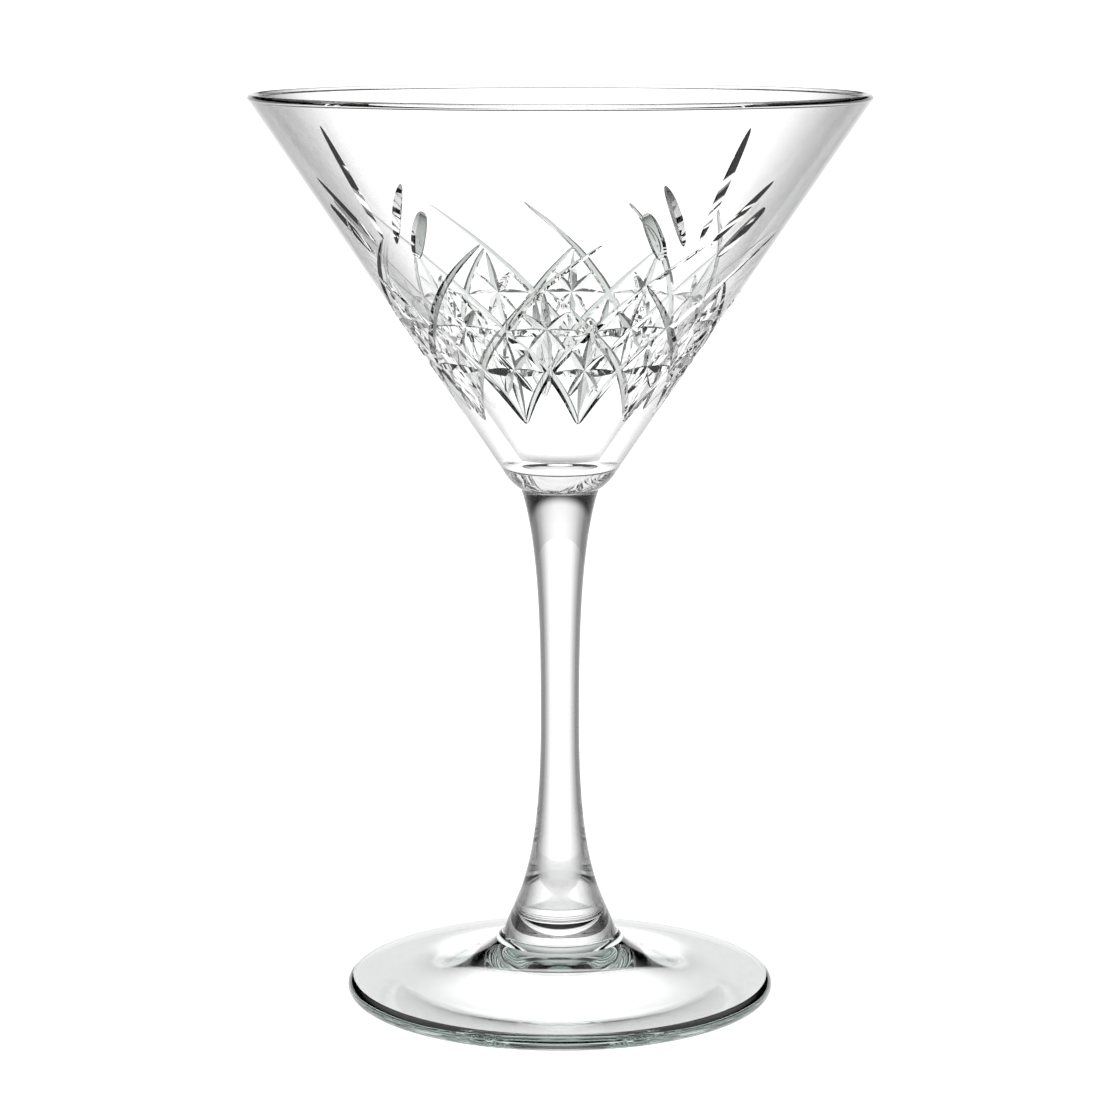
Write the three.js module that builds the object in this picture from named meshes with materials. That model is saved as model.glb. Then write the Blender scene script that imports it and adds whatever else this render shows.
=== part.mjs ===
// A martini glass in clear pressed glass, in millimetres, +Z up, with its origin at the centre of
// the face it stands on. It is three solids of revolution, fused end to end: the bowl, the stem and
// the foot.
import * as THREE from "three";

// Driving dimensions.
const HEIGHT = 172; // foot to rim
const RIM_RADIUS = 58; // outside of the rim
const FOOT_RADIUS = 41; // outside of the foot
const BOWL_SEAM = { radius: 7.4, z: 97.8 }; // where the bowl is fused to the stem
const FOOT_SEAM = { radius: 10.9, z: 11.4 }; // where the stem is fused to the foot

// The bowl: two cones, one inside the other, closer together at the rim than at the base.
const RIM_THICKNESS = 1.7; // fire-polished to a half round
const CONE_END = { radius: 10.9, z: 101.5 }; // outside, where the cone starts to turn in
const CONE_TURN = { radius: 9.4, z: 98.9 }; // the turn leans towards this point
const WELL = { radius: 8.6, z: 105.5 }; // inside, where the cone meets the rounded bottom
const WELL_BOTTOM_Z = 103.4;

// The stem: slim at the waist, flared at both ends. Each half leans towards one point near its
// flared end, and towards one height on its way out of the waist.
const WAIST = { radius: 3.7, z: 53 };
const LOWER_FLARE = { radius: 9.2, z: 18 };
const LOWER_FLARE_WAIST_Z = 21;
const UPPER_FLARE = { radius: 3.77, z: 86.6 };
const UPPER_FLARE_WAIST_Z = 67;

// The foot: a pressed disc with a low collar under the stem, a rounded edge and a hollow underside.
const EDGE_THICKNESS = 3.1;
const COLLAR = { radius: 12.2, z: 10.2 }; // where the slope ends and the collar's shoulder starts
const SHOULDER = { radius: 11.7, z: FOOT_SEAM.z }; // the shoulder leans towards this point
const OUTER_SLOPE = { radius: 24, z: 3.5 }; // the top leans towards these two points
const INNER_SLOPE = { radius: 16.5, z: 5.2 };
const HOLLOW_DEPTH = 7; // at the middle of the underside, which follows the domed top
const HOLLOW_MIDDLE_RADIUS = 12; // the underside leaves the middle level, towards here
const HOLLOW_EDGE_RADIUS = 17; // and comes down to the resting ring from here
const REST_RADIUS = 31; // the flat resting ring runs from here to the rounded edge

const SIDES = 64;
const CURVE_STEPS = 9; // along a long curve
const TURN_STEPS = 4; // along a short one
const ROUND_STEPS = 8; // round a half circle

const vector = ({ radius, z }) => new THREE.Vector2(radius, z);

// A half profile, drawn from the axis round the outside and back to the axis.
class Profile {
  constructor(start) {
    this.points = [vector(start)];
  }

  get end() {
    return this.points[this.points.length - 1];
  }

  line(to) {
    this.points.push(vector(to));
    return this;
  }

  follow(curve, steps) {
    this.points.push(...curve.getPoints(steps).slice(1));
    return this;
  }

  // A short turn that leans towards one point.
  turn(lean, to) {
    return this.follow(
      new THREE.QuadraticBezierCurve(this.end, vector(lean), vector(to)),
      TURN_STEPS,
    );
  }

  // A long curve that leans towards two points in turn.
  sweep(leanFirst, leanNext, to) {
    return this.follow(
      new THREE.CubicBezierCurve(this.end, vector(leanFirst), vector(leanNext), vector(to)),
      CURVE_STEPS,
    );
  }

  // An edge rounded to a half circle, from one angle to another.
  halfRound(centre, size, from, to) {
    return this.follow(
      new THREE.EllipseCurve(centre.radius, centre.z, size, size, from, to),
      ROUND_STEPS,
    );
  }
}

const glass = () =>
  new THREE.MeshStandardMaterial({
    color: 0xeef3f1,
    roughness: 0.02,
    metalness: 0,
    transparent: true,
    opacity: 0.35,
  });

// Turns a profile about the Z axis into a named mesh.
function turned(name, profile) {
  const geometry = new THREE.LatheGeometry(profile.points, SIDES);
  geometry.rotateX(Math.PI / 2);
  const mesh = new THREE.Mesh(geometry, glass());
  mesh.name = name;
  return mesh;
}

function bowl() {
  const rimRound = RIM_THICKNESS / 2;
  const rim = { radius: RIM_RADIUS - rimRound, z: HEIGHT - rimRound };
  // The rounded bottom starts on the slope of the inner cone and ends level.
  const slope = (rim.radius - rimRound - WELL.radius) / (rim.z - WELL.z);
  const wellTurn = WELL.radius - slope * (WELL.z - WELL_BOTTOM_Z);
  const outline = new Profile({ radius: 0, z: BOWL_SEAM.z })
    .line(BOWL_SEAM)
    .turn(CONE_TURN, CONE_END)
    .line({ radius: RIM_RADIUS, z: rim.z })
    .halfRound(rim, rimRound, 0, Math.PI)
    .line(WELL)
    .turn({ radius: wellTurn, z: WELL_BOTTOM_Z }, { radius: 0, z: WELL_BOTTOM_Z });
  return turned("bowl", outline);
}

function stem() {
  const outline = new Profile({ radius: 0, z: FOOT_SEAM.z })
    .line(FOOT_SEAM)
    .sweep(LOWER_FLARE, { radius: WAIST.radius, z: LOWER_FLARE_WAIST_Z }, WAIST)
    .sweep({ radius: WAIST.radius, z: UPPER_FLARE_WAIST_Z }, UPPER_FLARE, BOWL_SEAM)
    .line({ radius: 0, z: BOWL_SEAM.z });
  return turned("stem", outline);
}

function foot() {
  const edgeRound = EDGE_THICKNESS / 2;
  const edge = { radius: FOOT_RADIUS - edgeRound, z: edgeRound };
  const outline = new Profile({ radius: 0, z: HOLLOW_DEPTH })
    .sweep(
      { radius: HOLLOW_MIDDLE_RADIUS, z: HOLLOW_DEPTH },
      { radius: HOLLOW_EDGE_RADIUS, z: 0 },
      { radius: REST_RADIUS, z: 0 },
    )
    .line({ radius: edge.radius, z: 0 })
    .halfRound(edge, edgeRound, -Math.PI / 2, Math.PI / 2)
    .sweep(OUTER_SLOPE, INNER_SLOPE, COLLAR)
    .turn(SHOULDER, FOOT_SEAM)
    .line({ radius: 0, z: FOOT_SEAM.z });
  return turned("foot", outline);
}

const martiniGlass = new THREE.Group();
martiniGlass.add(bowl(), stem(), foot());

export default martiniGlass;
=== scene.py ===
# The looks of a martini glass in clear pressed glass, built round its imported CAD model.
import math

import bmesh
import bpy
import numpy as np
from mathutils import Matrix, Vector


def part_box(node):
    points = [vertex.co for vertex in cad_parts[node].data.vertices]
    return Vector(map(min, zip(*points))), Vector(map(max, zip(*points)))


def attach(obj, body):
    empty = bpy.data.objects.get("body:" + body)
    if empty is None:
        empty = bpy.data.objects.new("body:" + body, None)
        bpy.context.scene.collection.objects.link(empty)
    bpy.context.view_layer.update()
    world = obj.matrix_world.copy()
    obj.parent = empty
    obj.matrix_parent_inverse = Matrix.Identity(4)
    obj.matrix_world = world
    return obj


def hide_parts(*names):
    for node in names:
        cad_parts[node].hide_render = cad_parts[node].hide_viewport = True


MM = 0.001

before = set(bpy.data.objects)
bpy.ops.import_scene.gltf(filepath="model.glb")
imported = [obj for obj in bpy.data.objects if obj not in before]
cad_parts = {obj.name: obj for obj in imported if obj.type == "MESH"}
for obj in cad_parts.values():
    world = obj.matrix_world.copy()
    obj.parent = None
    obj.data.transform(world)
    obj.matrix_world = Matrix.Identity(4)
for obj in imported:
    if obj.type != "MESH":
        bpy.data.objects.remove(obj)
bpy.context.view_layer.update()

# ---- Sizes, from the CAD model's boxes -------------------------------------------------------

BOWL_LOW, BOWL_HIGH = (tuple(v / MM for v in corner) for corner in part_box("bowl"))
_, FOOT_HIGH = (tuple(v / MM for v in corner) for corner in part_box("foot"))
STEM_LOW, STEM_HIGH = (tuple(v / MM for v in corner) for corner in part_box("stem"))

HEIGHT = BOWL_HIGH[2]
RIM_RADIUS = BOWL_HIGH[0]
FOOT_RADIUS = FOOT_HIGH[0]
BOWL_SEAM = (7.4, BOWL_LOW[2])
FOOT_SEAM = (STEM_HIGH[0], STEM_LOW[2])

# The rest of each outline, as (radius, height) in millimetres.
RIM_THICKNESS = 1.7
CONE_END = (10.9, 101.5)
CONE_TURN = (9.4, 98.9)
WELL = (8.6, 105.5)
WELL_BOTTOM_Z = 103.4
WAIST = (3.7, 53.0)
LOWER_FLARE = (9.2, 18.0)
LOWER_FLARE_WAIST_Z = 21.0
UPPER_FLARE = (3.77, 86.6)
UPPER_FLARE_WAIST_Z = 67.0
EDGE_THICKNESS = 3.1
COLLAR = (12.2, 10.2)
SHOULDER_RADIUS = 11.7
OUTER_SLOPE = (24.0, 3.5)
INNER_SLOPE = (16.5, 5.2)
HOLLOW_DEPTH = 7.0
HOLLOW_MIDDLE_RADIUS = 12.0
HOLLOW_EDGE_RADIUS = 17.0
REST_RADIUS = 31.0

SIDES = 256
CONE_RINGS = 40  # short faces keep the surface normals true on the widening cone
CREASE = math.radians(24)  # cut facets that meet more sharply than this keep a hard edge
SEAM_GAP = 0.01  # each fused face stands back this far, so that the two never share a plane
INSET = 1.0 - 0.0001  # keeps the finer circles inside the CAD model's box
ON_AXIS = 1e-9  # a point this near the axis is on it
NEAR_AXIS = 1e-4  # closer to the axis than this, a corner takes its face's direction
FACING_WEIGHT = 4.0  # millimetres of distance that facing the wrong way by a quarter turn counts for

# Slots of every piece's materials.
GLASS_SLOT = 0
CUT_SLOT = 1
FUSED_SLOT = 2

# ---- Outlines --------------------------------------------------------------------------------


class Outline:
    """A half profile from the axis, round the outside and back, with the normal at each point."""

    def __init__(self, start):
        self.end = np.array(start, float)
        self.pieces = []  # (start, end, normal at the start, normal at the end)

    def add(self, points, tangents):
        normals = [np.array((t[1], -t[0])) / np.hypot(*t) for t in tangents]
        for i in range(len(points) - 1):
            self.pieces.append((points[i], points[i + 1], normals[i], normals[i + 1]))
        self.end = np.array(points[-1], float)
        return self

    def line(self, to, steps=1):
        to = np.array(to, float)
        run = to - self.end
        points = [self.end + run * share for share in np.linspace(0, 1, steps + 1)]
        return self.add(points, [run] * (steps + 1))

    def turn(self, lean, to, steps=14):
        a, b, c = self.end, np.array(lean, float), np.array(to, float)
        t = np.linspace(0, 1, steps + 1)[:, None]
        points = (1 - t) ** 2 * a + 2 * (1 - t) * t * b + t**2 * c
        tangents = 2 * (1 - t) * (b - a) + 2 * t * (c - b)
        return self.add(list(points), list(tangents))

    def sweep(self, first, second, to, steps=48):
        a, b, c, d = self.end, *(np.array(p, float) for p in (first, second, to))
        t = np.linspace(0, 1, steps + 1)[:, None]
        points = (1 - t) ** 3 * a + 3 * (1 - t) ** 2 * t * b + 3 * (1 - t) * t**2 * c + t**3 * d
        tangents = 3 * (1 - t) ** 2 * (b - a) + 6 * (1 - t) * t * (c - b) + 3 * t**2 * (d - c)
        return self.add(list(points), list(tangents))

    def half_round(self, centre, size, start, end, steps=20):
        t = np.linspace(start, end, steps + 1)
        points = np.stack([centre[0] + size * np.cos(t), centre[1] + size * np.sin(t)], 1)
        tangents = np.stack([-np.sin(t), np.cos(t)], 1)
        return self.add(list(points), list(tangents))


def bowl_outline():
    round_size = RIM_THICKNESS / 2
    rim = (RIM_RADIUS - round_size, HEIGHT - round_size)
    slope = (rim[0] - round_size - WELL[0]) / (rim[1] - WELL[1])
    well_turn = WELL[0] - slope * (WELL[1] - WELL_BOTTOM_Z)
    seam_z = BOWL_SEAM[1] + SEAM_GAP
    return (
        Outline((0, seam_z))
        .line((BOWL_SEAM[0], seam_z))
        .turn(CONE_TURN, CONE_END)
        .line((RIM_RADIUS, rim[1]), CONE_RINGS)
        .half_round(rim, round_size, 0, math.pi)
        .line(WELL, CONE_RINGS)
        .turn((well_turn, WELL_BOTTOM_Z), (0, WELL_BOTTOM_Z))
    )


def stem_outline():
    low, high = FOOT_SEAM[1] + SEAM_GAP, BOWL_SEAM[1] - SEAM_GAP
    return (
        Outline((0, low))
        .line((FOOT_SEAM[0], low))
        .sweep(LOWER_FLARE, (WAIST[0], LOWER_FLARE_WAIST_Z), WAIST)
        .sweep((WAIST[0], UPPER_FLARE_WAIST_Z), UPPER_FLARE, (BOWL_SEAM[0], high))
        .line((0, high))
    )


def foot_outline():
    round_size = EDGE_THICKNESS / 2
    edge = (FOOT_RADIUS - round_size, round_size)
    top = FOOT_SEAM[1] - SEAM_GAP
    return (
        Outline((0, HOLLOW_DEPTH))
        .sweep((HOLLOW_MIDDLE_RADIUS, HOLLOW_DEPTH), (HOLLOW_EDGE_RADIUS, 0), (REST_RADIUS, 0))
        .line((edge[0], 0))
        .half_round(edge, round_size, -math.pi / 2, math.pi / 2)
        .sweep(OUTER_SLOPE, INNER_SLOPE, COLLAR)
        .turn((SHOULDER_RADIUS, top), (FOOT_SEAM[0], top))
        .line((0, top))
    )


def ring(mesh, radius, z):
    """One circle of points, or a single point on the axis."""
    if radius < ON_AXIS:
        return [mesh.verts.new((0, 0, z * MM))]
    points = []
    for i in range(SIDES):
        angle = 2 * math.pi * i / SIDES
        points.append(mesh.verts.new((
            radius * INSET * math.cos(angle) * MM,
            radius * INSET * math.sin(angle) * MM,
            z * MM,
        )))
    return points


def finished(mesh, name):
    """The mesh as an object in the scene, with its faces turned outwards."""
    bmesh.ops.recalc_face_normals(mesh, faces=mesh.faces)
    data = bpy.data.meshes.new(name)
    mesh.to_mesh(data)
    mesh.free()
    piece = bpy.data.objects.new(name, data)
    bpy.context.scene.collection.objects.link(piece)
    return piece


def turned(name, outline):
    """The outline turned about Z, as a closed mesh in metres."""
    mesh = bmesh.new()
    points = [outline.pieces[0][0]] + [piece[1] for piece in outline.pieces]
    rings = [ring(mesh, radius, z) for radius, z in points]
    for low, high in zip(rings, rings[1:]):
        for i in range(SIDES):
            j = (i + 1) % SIDES
            corners = [
                low[i % len(low)],
                low[j % len(low)],
                high[j % len(high)],
                high[i % len(high)],
            ]
            mesh.faces.new(list(dict.fromkeys(corners)))
    return finished(mesh, name)


def read(items, field, width):
    """One vector of every vertex, face or corner of a mesh, as rows."""
    values = np.zeros(len(items) * width, np.float32)
    items.foreach_get(field, values)
    return values.reshape(-1, width)


def shade(piece, outline):
    """Gives every corner its true surface normal: from the outline where the face was turned, and
    from the neighbouring facets where it was cut."""
    data = piece.data
    data.polygons.foreach_set("use_smooth", np.ones(len(data.polygons), bool))
    data.set_sharp_from_angle(angle=CREASE)
    normals = read(data.corner_normals, "vector", 3)
    points = read(data.vertices, "co", 3) / MM
    face_normals = read(data.polygons, "normal", 3)

    start, end, first, last = (np.array(part) for part in zip(*outline.pieces))
    run = end - start
    length = np.maximum(np.einsum("ij,ij->i", run, run), 1e-12)
    flat = np.stack([run[:, 1], -run[:, 0]], 1) / np.sqrt(length)[:, None]
    for index, face in enumerate(data.polygons):
        if face.material_index == CUT_SLOT:
            continue
        corners = points[list(face.vertices)]
        radius = np.hypot(corners[:, 0], corners[:, 1])

        # The stretch of outline that the face lies on: the nearest one that faces the same way.
        middle = np.array((radius.mean(), corners[:, 2].mean()))
        share = np.clip(((middle - start) * run).sum(1) / length, 0, 1)
        gap = np.linalg.norm(start + share[:, None] * run - middle, axis=1)
        centre = corners.mean(0)
        out = np.array(centre[:2]) / max(np.hypot(*centre[:2]), ON_AXIS)
        facing = np.array((face_normals[index][:2] @ out, face_normals[index][2]))
        best = np.argmin(gap + FACING_WEIGHT * (1 - flat @ facing))

        # The outline's own normal at each corner, turned round the axis to meet it.
        profile_points = np.stack([radius, corners[:, 2]], 1)
        t = np.clip(((profile_points - start[best]) @ run[best]) / length[best], 0, 1)
        profile = first[best] * (1 - t[:, None]) + last[best] * t[:, None]
        profile /= np.linalg.norm(profile, axis=1)[:, None]
        safe = np.maximum(radius, ON_AXIS)[:, None]
        around = np.where(radius[:, None] > NEAR_AXIS, corners[:, :2] / safe, out)
        loops = slice(face.loop_start, face.loop_start + face.loop_total)
        normals[loops, :2] = around * profile[:, :1]
        normals[loops, 2] = profile[:, 1]
    data.normals_split_custom_set([Vector(n) for n in normals.tolist()])


# ---- The cut pattern --------------------------------------------------------------------------
# Places on the bowl's outer cone are (turn in degrees, height in millimetres). Turn 0 faces the
# viewer, towards -Y, and grows towards +X.

COLUMNS = 12
COLUMN_STEP = 360 / COLUMNS
NODE_TURN = 10.2  # a column of lattice nodes, to the right of the viewer's middle
NODE_ROWS = (112.3, 122.6, 130.5, 138.9, 147.0)  # heights of the rows, from the lower points
LEFT_ROWS = 4  # grooves that lean left stop here, one row short of the others
STAR_ROWS = (1, 2)  # the rows whose diamonds hold a star
FAN_TURNS = (36.2, -49.5)  # the middle of each fan

# Each kind of groove: its depth, the angle between its middle and each flank, half the width of
# its flat bottom, how quickly it reaches its depth (a smaller number is quicker), how much
# shallower it gets towards its far end, and the steps it is built in.
LATTICE = {
    "depth": 0.95,
    "half_angle": math.radians(32),
    "flat": 0.5,
    "fullness": 0.42,
    "thinning": 0.3,
    "steps": 64,
}
STAR = {"depth": 0.85, "half_angle": math.radians(53), "fullness": 0.85, "steps": 16}
LONG_LEAF = {"depth": 1.25, "half_angle": math.radians(39), "fullness": 0.6}
BROAD_LEAF = {"depth": 0.8, "half_angle": math.radians(36), "flat": 0.95, "fullness": 0.4}

# A star's lines, as shares of a diamond across and up from its middle.
STAR_LINES = ((0.92, 0), (0, 0.92), (0.49, 0.49), (0.49, -0.49))
# A fan's leaves, as (base, tip, kind). Base and tip are (turn from the fan's middle, height).
FAN_LEAVES = (
    ((0, 146.8), (0, 167.6), LONG_LEAF),
    ((4.2, 146.2), (14.6, 157.6), LONG_LEAF),
    ((-4.2, 146.2), (-14.6, 157.6), LONG_LEAF),
    ((9.0, 143.8), (17.4, 152.6), BROAD_LEAF),
    ((-9.0, 143.8), (-17.4, 152.6), BROAD_LEAF),
)

CUT_LIFT = 0.9  # how far a cutter stands out of the glass
END_LIFT = 0.03  # how far a cutter's two ends stay clear of the glass
SHARP = 0.001  # half the width of a V's bottom
PATH_STEP = 0.01  # share of a path, either side, that gives its direction

CONE_SLOPE = math.atan2(RIM_RADIUS - CONE_END[0], HEIGHT - RIM_THICKNESS / 2 - CONE_END[1])


def cone_radius(z):
    share = (z - CONE_END[1]) / (HEIGHT - RIM_THICKNESS / 2 - CONE_END[1])
    return CONE_END[0] + share * (RIM_RADIUS - CONE_END[0])


def on_cone(turn, z):
    angle = math.radians(turn)
    radius = cone_radius(z)
    return Vector((radius * math.sin(angle), -radius * math.cos(angle), z))


def cone_normal(turn):
    angle = math.radians(turn)
    return Vector((
        math.cos(CONE_SLOPE) * math.sin(angle),
        -math.cos(CONE_SLOPE) * math.cos(angle),
        -math.sin(CONE_SLOPE),
    ))


def along(places, share):
    """A smooth path through the places, at a share of its length from 0 to 1."""
    spot = share * (len(places) - 1)
    i = min(int(spot), len(places) - 2)
    t = spot - i
    before = places[max(i - 1, 0)]
    after = places[min(i + 2, len(places) - 1)]
    result = []
    for p0, p1, p2, p3 in zip(before, places[i], places[i + 1], after):
        third = 3 * (p1 - p2) + p3 - p0
        second = 2 * p0 - 5 * p1 + 4 * p2 - p3
        result.append(p1 + 0.5 * t * (p2 - p0 + t * (second + t * third)))
    return result


def cutter(mesh, places, depth, half_angle, steps=28, fullness=0.5, thinning=0.0, flat=0.0):
    """Adds one cutter that dives in at one end of a path and out at the other. Its section is a V,
    or a V with a flat bottom that is twice `flat` wide."""
    rings = []
    for i in range(steps + 1):
        share = i / steps
        turn, z = along(places, share)
        centre = on_cone(turn, z)
        ahead = on_cone(*along(places, min(share + PATH_STEP, 1.0)))
        behind = on_cone(*along(places, max(share - PATH_STEP, 0.0)))
        normal = cone_normal(turn)
        side = normal.cross((ahead - behind).normalized()).normalized()
        dive = depth * (1 - thinning * share) * math.sin(math.pi * share) ** fullness - END_LIFT
        bottom = max(flat * dive / depth, SHARP)
        half = bottom + (dive + CUT_LIFT) * math.tan(half_angle)
        low = centre - normal * dive
        top = centre + normal * CUT_LIFT
        section = (low + side * bottom, top + side * half, top - side * half, low - side * bottom)
        rings.append([mesh.verts.new(point * MM) for point in section])
    for a, b in zip(rings, rings[1:]):
        for k in range(4):
            mesh.faces.new((a[k], a[(k + 1) % 4], b[(k + 1) % 4], b[k]))
    mesh.faces.new(rings[0][::-1])
    mesh.faces.new(rings[-1])


def cutter_object(name, strokes):
    """One object for a set of strokes that don't cross. A stroke is (places, keyword values)."""
    mesh = bmesh.new()
    for places, values in strokes:
        cutter(mesh, places, **values)
    return finished(mesh, name)


def lattice_strokes(lean):
    """The long grooves that lean one way: 1 up to the right, -1 up to the left."""
    strokes = []
    for column in range(COLUMNS):
        turn = NODE_TURN + column * COLUMN_STEP
        rows = NODE_ROWS if lean > 0 else NODE_ROWS[:LEFT_ROWS]
        places = [(turn + lean * COLUMN_STEP / 2 * row, z) for row, z in enumerate(rows)]
        strokes.append((places, LATTICE))
    return strokes


def star_strokes(direction):
    """One of the four lines of every star. Direction is (share across, share up) of a diamond."""
    strokes = []
    for row in STAR_ROWS:
        low, middle, high = NODE_ROWS[row - 1: row + 2]
        for column in range(COLUMNS):
            turn = NODE_TURN + column * COLUMN_STEP + (row - 1) * COLUMN_STEP / 2
            across, up = direction
            places = [
                (turn - across * COLUMN_STEP / 2, middle - up * (middle - low)),
                (turn, middle),
                (turn + across * COLUMN_STEP / 2, middle + up * (high - middle)),
            ]
            strokes.append((places, STAR))
    return strokes


def fan_strokes(base, tip, values):
    """The same leaf on every fan. Base and tip are (turn from the fan's middle, height)."""
    strokes = []
    for middle in FAN_TURNS:
        places = [(middle + base[0], base[1]), (middle + tip[0], tip[1])]
        strokes.append((places, values))
    return strokes


def cut_sets():
    yield lattice_strokes(1)
    yield lattice_strokes(-1)
    for line in STAR_LINES:
        yield star_strokes(line)
    for base, tip, values in FAN_LEAVES:
        yield fan_strokes(base, tip, values)


def cut(piece, strokes, material):
    """Takes the strokes out of the piece. The new faces carry the material."""
    tool = cutter_object("cutter", strokes)
    tool.data.materials.append(material)
    step = piece.modifiers.new("cut", "BOOLEAN")
    step.operation = "DIFFERENCE"
    step.solver = "MANIFOLD"
    step.object = tool
    step.material_mode = "TRANSFER"
    evaluated = piece.evaluated_get(bpy.context.evaluated_depsgraph_get())
    shape = bpy.data.meshes.new_from_object(evaluated)
    piece.modifiers.clear()
    old = piece.data
    piece.data = shape
    bpy.data.meshes.remove(old)
    bpy.data.objects.remove(tool)


# ---- Materials ----------------------------------------------------------------------------------

GLASS_IOR = 1.52
# The faint grey-green of a thick piece, as a colour and how quickly it deepens.
BOWL_BODY = ((0.88, 0.892, 0.885, 1), 6.0)
FOOT_BODY = ((0.55, 0.66, 0.62, 1), 22.0)
# The waves left on the surface, as (size, height) in millimetres.
MOULD_WAVES = (14.0, 0.02)
CUT_WAVES = (1.6, 0.003)
WAVE_DETAIL = 2.0
POLISH_WAVES = (0.35, 0.75)  # the part of the waves over which the polish goes from best to worst
POLISH_SPREAD = 0.02  # the worst roughness

# Painted shade: how dark the glass and its reflections are painted where the surface turns away from
# the eye, standing in for the dark surroundings seen at its edges: (share turned away, tone).
BOWL_PAINTED_SHADE = ((0.0, 1.0), (0.4, 0.96), (0.56, 0.62), (0.7, 0.25), (0.83, 0.05), (1.0, 0.01))
STEM_PAINTED_SHADE = ((0.0, 1.0), (0.04, 0.97), (0.12, 0.64), (0.26, 0.24), (0.4, 0.06), (1.0, 0.01))
CUT_PAINTED_SHADE = ((0.0, 0.96), (0.28, 0.82), (0.4, 0.38), (0.54, 0.09), (1.0, 0.01))
FOOT_PAINTED_SHADE = ((0.0, 1.0), (0.84, 0.98), (0.92, 0.6), (1.0, 0.1))


def paint_edge_shade(tree, shader, shade_tones):
    """Paints shade into the glass and its reflections where the surface turns away from the eye:
    darker edges that stand in for the dark surroundings seen there.
    """
    turning = tree.nodes.new("ShaderNodeLayerWeight")
    turning.inputs["Blend"].default_value = 0.5
    ramp = tree.nodes.new("ShaderNodeValToRGB")
    tree.links.new(turning.outputs["Facing"], ramp.inputs["Fac"])
    stops = ramp.color_ramp.elements
    for position, tone in shade_tones[1:-1]:
        stops.new(position)
    for stop, (position, tone) in zip(stops, shade_tones):
        stop.position = position
        stop.color = (tone, tone, tone, 1)
    # Painted shade: the ramp's grey darkens the glass's colour where it turns away from the eye.
    tree.links.new(ramp.outputs["Color"], shader.inputs["Base Color"])
    # Painted shade on the reflections too: the same grey tints them darker at the edges.
    tree.links.new(ramp.outputs["Color"], shader.inputs["Specular Tint"])


def wavy_surface(tree, shader, size, height):
    """Faint waves that bend the surface and make the polish slightly uneven."""
    place = tree.nodes.new("ShaderNodeTexCoord")
    waves = tree.nodes.new("ShaderNodeTexNoise")
    waves.inputs["Scale"].default_value = 1 / (size * MM)
    waves.inputs["Detail"].default_value = WAVE_DETAIL
    tree.links.new(place.outputs["Object"], waves.inputs["Vector"])
    bump = tree.nodes.new("ShaderNodeBump")
    bump.inputs["Strength"].default_value = 1.0
    bump.inputs["Distance"].default_value = height * MM
    tree.links.new(waves.outputs["Fac"], bump.inputs["Height"])
    tree.links.new(bump.outputs["Normal"], shader.inputs["Normal"])

    spread = tree.nodes.new("ShaderNodeMapRange")
    spread.inputs["From Min"].default_value = POLISH_WAVES[0]
    spread.inputs["From Max"].default_value = POLISH_WAVES[1]
    spread.inputs["To Min"].default_value = 0.0
    spread.inputs["To Max"].default_value = POLISH_SPREAD
    tree.links.new(waves.outputs["Fac"], spread.inputs["Value"])
    tree.links.new(spread.outputs[0], shader.inputs["Roughness"])


def body_colour(tree, body):
    colour, density = body
    depth = tree.nodes.new("ShaderNodeVolumeAbsorption")
    depth.inputs["Color"].default_value = colour
    depth.inputs["Density"].default_value = density
    tree.links.new(depth.outputs[0], tree.nodes["Material Output"].inputs["Volume"])


def glass(name, shade_tones, body, waves):
    material = bpy.data.materials.new(name)
    material.use_nodes = True
    tree = material.node_tree
    shader = tree.nodes["Principled BSDF"]
    shader.inputs["IOR"].default_value = GLASS_IOR
    shader.inputs["Transmission Weight"].default_value = 1.0
    # Paints shade at the glass's edges, by how far each surface turns away from the eye.
    paint_edge_shade(tree, shader, shade_tones)
    wavy_surface(tree, shader, *waves)
    body_colour(tree, body)
    return material


def fused(name):
    """The face where two pieces were fused: light passes it as if it weren't there."""
    material = bpy.data.materials.new(name)
    material.use_nodes = True
    tree = material.node_tree
    tree.nodes.clear()
    clear = tree.nodes.new("ShaderNodeBsdfTransparent")
    output = tree.nodes.new("ShaderNodeOutputMaterial")
    tree.links.new(clear.outputs[0], output.inputs["Surface"])
    return material


# ---- Pieces ---------------------------------------------------------------------------------


LEVEL = 0.999  # how upright a face's normal is on a seam
SEAM_REACH = 0.004  # how near a seam's height a face lies


def mark_fused(piece, heights):
    """Gives the flat faces at the seams their own slot."""
    for face in piece.data.polygons:
        z = face.center.z / MM
        near = any(abs(z - height) < SEAM_REACH for height in heights)
        if abs(face.normal.z) > LEVEL and near:
            face.material_index = FUSED_SLOT


CUT_GLASS = glass("cut_glass", CUT_PAINTED_SHADE, BOWL_BODY, CUT_WAVES)
FUSED = fused("fused_face")


def build(name, outline, shade_tones, body, seams, cuts=()):
    """A turned piece with its cuts, its materials and its true surface normals."""
    piece = turned(name, outline)
    slots = {
        GLASS_SLOT: glass(name + "_glass", shade_tones, body, MOULD_WAVES),
        CUT_SLOT: CUT_GLASS,
        FUSED_SLOT: FUSED,
    }
    for slot in sorted(slots):
        piece.data.materials.append(slots[slot])
    for strokes in cuts:
        cut(piece, strokes, CUT_GLASS)
    mark_fused(piece, seams)
    shade(piece, outline)
    return piece


def cut_bowl():
    seams = [BOWL_SEAM[1] + SEAM_GAP]
    return build("cut_bowl", bowl_outline(), BOWL_PAINTED_SHADE, BOWL_BODY, seams, cut_sets())


def drawn_stem():
    seams = [FOOT_SEAM[1] + SEAM_GAP, BOWL_SEAM[1] - SEAM_GAP]
    return build("drawn_stem", stem_outline(), STEM_PAINTED_SHADE, BOWL_BODY, seams)


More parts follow.
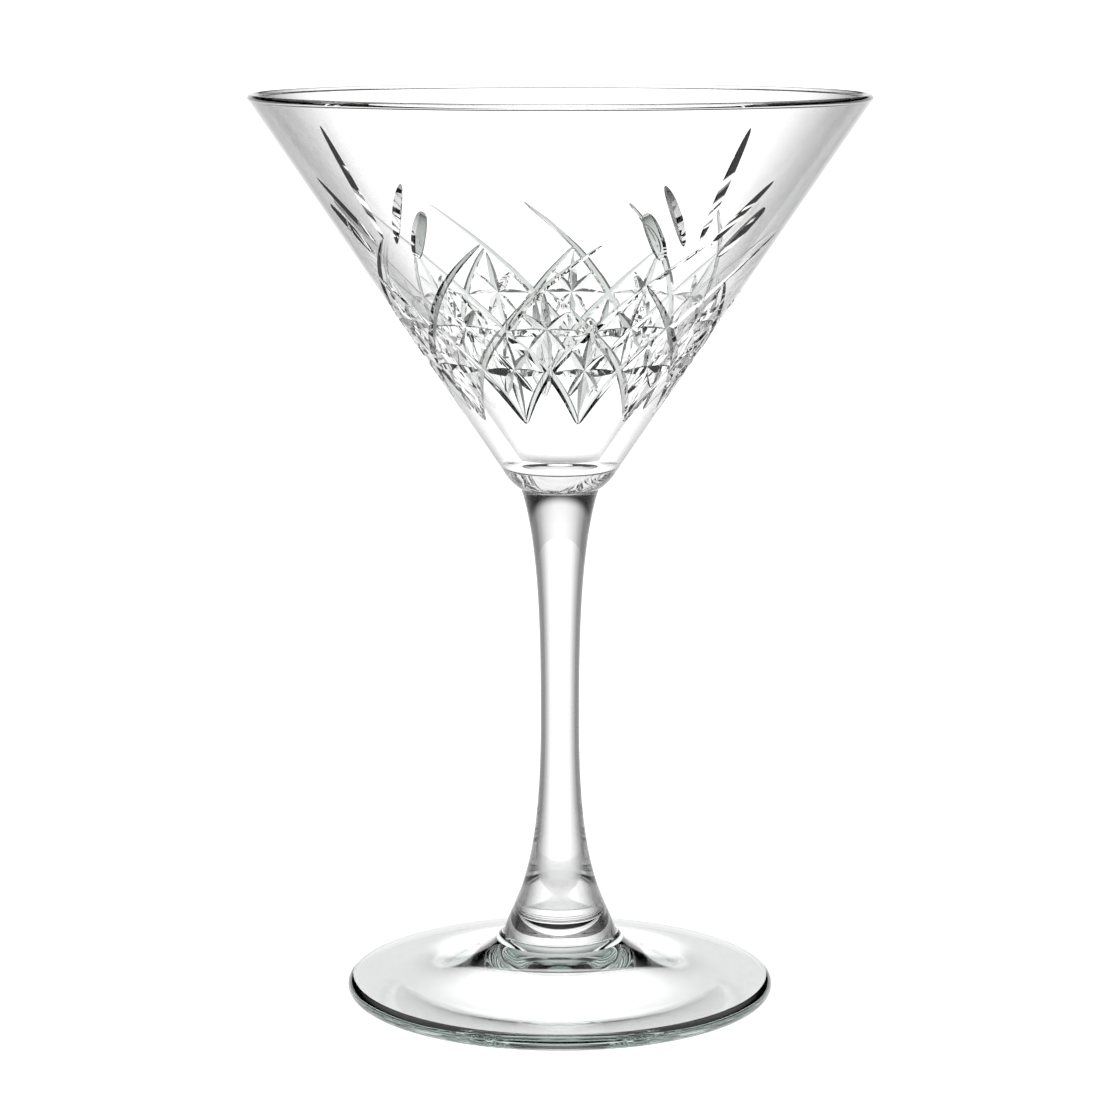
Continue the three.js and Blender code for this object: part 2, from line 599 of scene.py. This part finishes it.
def pressed_foot():
    seams = [FOOT_SEAM[1] - SEAM_GAP]
    return build("pressed_foot", foot_outline(), FOOT_PAINTED_SHADE, FOOT_BODY, seams)


for piece, node in ((cut_bowl(), "bowl"), (drawn_stem(), "stem"), (pressed_foot(), "foot")):
    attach(piece, "root")
    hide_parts(node)

# ---- Floor, light and camera ----------------------------------------------------------------
# A plain white floor, a white horizon all the way round, darker air above it, and a soft lamp
# overhead. Heights in the air are given as the sine of the angle above the horizon.

FLOOR_SIZE = 40.0  # metres from the middle to a side
FLOOR_DROP = 0.0002  # keeps the floor just under the foot
FLOOR_LIGHT = 1.3  # brighter than white, so that it comes out plain white
FLOOR_TONE = 0.1
HORIZON = 1.1  # brightness of the white band
HORIZON_TOP = 0.12
DARK_FROM = 0.20
DARK_TO = 0.35
LAMP_FROM = 0.70
LAMP = 1.0  # brightness straight overhead


def smooth_step(tree, value, start, end, level):
    """A soft rise from 0 at the start to the level at the end."""
    node = tree.nodes.new("ShaderNodeMapRange")
    node.interpolation_type = "SMOOTHSTEP"
    node.inputs["From Min"].default_value = start
    node.inputs["From Max"].default_value = end
    node.inputs["To Max"].default_value = level
    tree.links.new(value, node.inputs["Value"])
    return node.outputs[0]


def white_floor():
    material = bpy.data.materials.new("white_floor")
    material.use_nodes = True
    shader = material.node_tree.nodes["Principled BSDF"]
    shader.inputs["Base Color"].default_value = (FLOOR_TONE, FLOOR_TONE, FLOOR_TONE, 1)
    shader.inputs["Specular IOR Level"].default_value = 0.0
    shader.inputs["Roughness"].default_value = 1.0
    shader.inputs["Emission Color"].default_value = (1, 1, 1, 1)
    shader.inputs["Emission Strength"].default_value = FLOOR_LIGHT
    return material


def floor():
    size = FLOOR_SIZE
    data = bpy.data.meshes.new("floor")
    corners = [(-size, -size, 0), (size, -size, 0), (size, size, 0), (-size, size, 0)]
    data.from_pydata(corners, [], [(0, 1, 2, 3)])
    data.materials.append(white_floor())
    piece = bpy.data.objects.new("floor", data)
    piece.location.z = -FLOOR_DROP
    bpy.context.scene.collection.objects.link(piece)


def studio():
    world = bpy.data.worlds.new("studio")
    bpy.context.scene.world = world
    world.use_nodes = True
    tree = world.node_tree
    place = tree.nodes.new("ShaderNodeTexCoord")
    split = tree.nodes.new("ShaderNodeSeparateXYZ")
    tree.links.new(place.outputs["Generated"], split.inputs[0])
    height = split.outputs["Z"]
    total = tree.nodes.new("ShaderNodeMath")
    total.operation = "ADD"
    horizon = smooth_step(tree, height, DARK_FROM, HORIZON_TOP, HORIZON)
    lamp = smooth_step(tree, height, DARK_TO, LAMP_FROM, LAMP)
    tree.links.new(horizon, total.inputs[0])
    tree.links.new(lamp, total.inputs[1])
    tree.links.new(total.outputs[0], tree.nodes["Background"].inputs["Color"])


CAMERA_DISTANCE = 0.6343
CAMERA_SIDE = -0.0019
CAMERA_HEIGHT = 0.193
CAMERA_PITCH = 9.575  # degrees below level
CAMERA_LENS = 110.94
CAMERA_SENSOR = 36
CAMERA_NEAR = 0.01


def camera():
    data = bpy.data.cameras.new("camera")
    data.lens = CAMERA_LENS
    data.sensor_width = CAMERA_SENSOR
    data.clip_start = CAMERA_NEAR
    eye = bpy.data.objects.new("camera", data)
    eye.location = (CAMERA_SIDE, -CAMERA_DISTANCE, CAMERA_HEIGHT)
    eye.rotation_euler = (math.radians(90 - CAMERA_PITCH), 0, 0)
    bpy.context.scene.collection.objects.link(eye)
    bpy.context.scene.camera = eye


CLEAR_BOUNCES = 24  # enough for light to cross every wall of the glass
GLOSSY_BOUNCES = 8
SEAM_BOUNCES = 32


def light_paths():
    scene = bpy.context.scene
    scene.view_settings.view_transform = "Standard"
    scene.cycles.max_bounces = CLEAR_BOUNCES
    scene.cycles.transmission_bounces = CLEAR_BOUNCES
    scene.cycles.glossy_bounces = GLOSSY_BOUNCES
    scene.cycles.transparent_max_bounces = SEAM_BOUNCES
    scene.cycles.caustics_refractive = False
    scene.cycles.caustics_reflective = False
    scene.cycles.use_denoising = True


floor()
studio()
camera()
light_paths()
